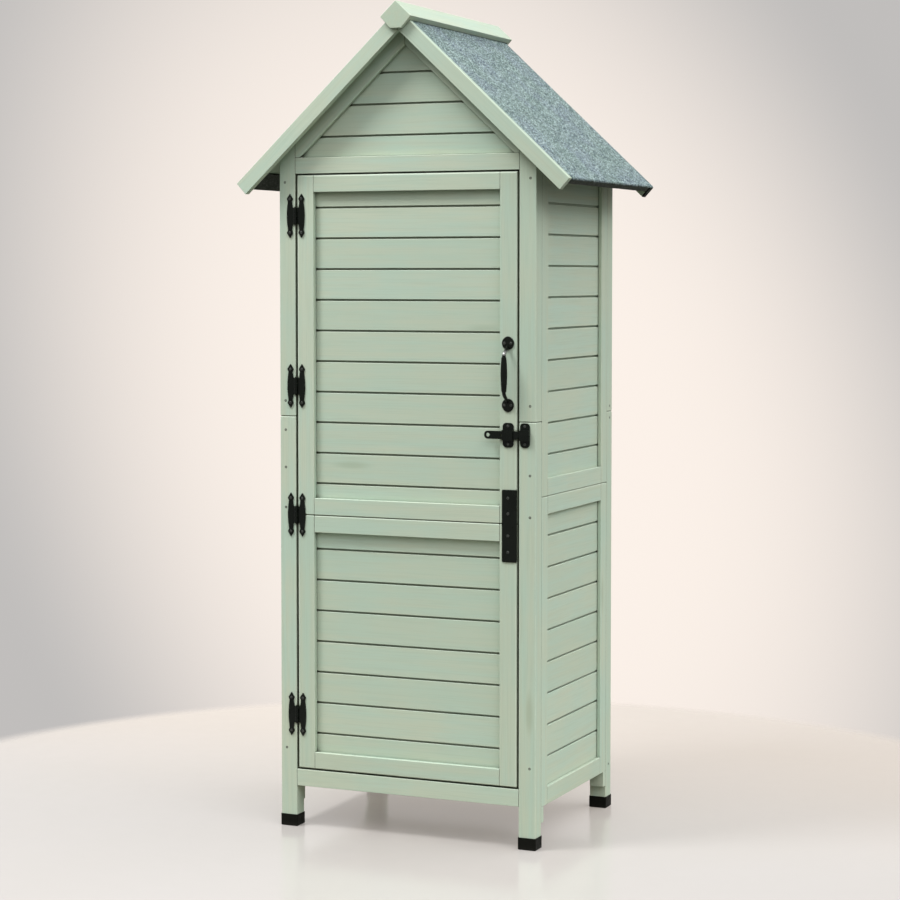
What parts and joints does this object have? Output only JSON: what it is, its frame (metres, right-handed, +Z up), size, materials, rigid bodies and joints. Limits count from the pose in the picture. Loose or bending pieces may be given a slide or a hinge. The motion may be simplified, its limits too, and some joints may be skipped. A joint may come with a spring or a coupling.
{
  "type": "tool shed",
  "caption": "Narrow wooden tool shed on legs, with framed board walls, a steep felted gable roof, a hinged front door with a pull and a slide bolt, and shelves inside.",
  "frame": {"origin": "on the floor, under the middle of the body", "axes": "+X to the right seen from the front, +Y from the front to the back, +Z up"},
  "size_m": [0.776, 0.566, 1.7922],
  "materials": {
    "painted_wood": "thin matt sage green paint, with the grain showing faintly",
    "bare_wood": "planed softwood, unpainted",
    "mineral_felt": "roofing felt with grey-green mineral chips",
    "black_iron": "black lacquered iron, slightly uneven",
    "black_plastic": "moulded, matt"
  },
  "bodies": {
    "frame": {"back_panel_lower_boards": "painted_wood", "back_panel_lower_frame": "painted_wood", "back_panel_upper_boards": "painted_wood", "back_panel_upper_frame": "painted_wood", "barge_board_front_left": "painted_wood", "barge_board_front_right": "painted_wood", "barge_board_rear_left": "painted_wood", "barge_board_rear_right": "painted_wood", "bolt_keeper": "black_iron", "corner_blocks": "painted_wood", "floor": "bare_wood", "foot_cap_front_left": "black_plastic", "foot_cap_front_right": "black_plastic", "foot_cap_rear_left": "black_plastic", "foot_cap_rear_right": "black_plastic", "front_bottom_rail": "painted_wood", "front_top_rail": "painted_wood", "gable_boards_front": "painted_wood", "gable_boards_rear": "painted_wood", "gable_trims_front": "painted_wood", "gable_trims_rear": "painted_wood", "hinge_leaves_post": "black_iron", "hinge_pins": "black_iron", "post_front_left_lower": "painted_wood", "post_front_left_upper": "painted_wood", "post_front_right_lower": "painted_wood", "post_front_right_upper": "painted_wood", "post_rear_left_lower": "painted_wood", "post_rear_left_upper": "painted_wood", "post_rear_right_lower": "painted_wood", "post_rear_right_upper": "painted_wood", "rear_top_rail": "painted_wood", "ridge_cap": "painted_wood", "roof_board_left": "painted_wood", "roof_board_right": "painted_wood", "roof_felt_left": "mineral_felt", "roof_felt_right": "mineral_felt", "shelf_cleats": "bare_wood", "shelf_lower": "bare_wood", "shelf_upper": "bare_wood", "side_panel_left_lower_boards": "painted_wood", "side_panel_left_lower_frame": "painted_wood", "side_panel_left_upper_boards": "painted_wood", "side_panel_left_upper_frame": "painted_wood", "side_panel_right_lower_boards": "painted_wood", "side_panel_right_lower_frame": "painted_wood", "side_panel_right_upper_boards": "painted_wood", "side_panel_right_upper_frame": "painted_wood"},
    "door": {"bolt_guide": "black_iron", "door_lower_boards": "painted_wood", "door_lower_frame": "painted_wood", "door_plate": "black_iron", "door_pull": "black_iron", "door_upper_boards": "painted_wood", "door_upper_frame": "painted_wood", "hinge_leaves_door": "black_iron"},
    "bolt": {"bolt_bar": "black_iron"}
  },
  "joints": [
    {"name": "door_hinge", "type": "hinge", "parent": "frame", "child": "door", "pos_m": [-0.261, -0.2393, 0.8], "axis": [0, 0, -1], "range_deg": [0, 150]},
    {"name": "bolt_slide", "type": "slide", "parent": "door", "child": "bolt", "axis": [1, 0, 0], "range_m": [0, 0.031]}
  ]
}
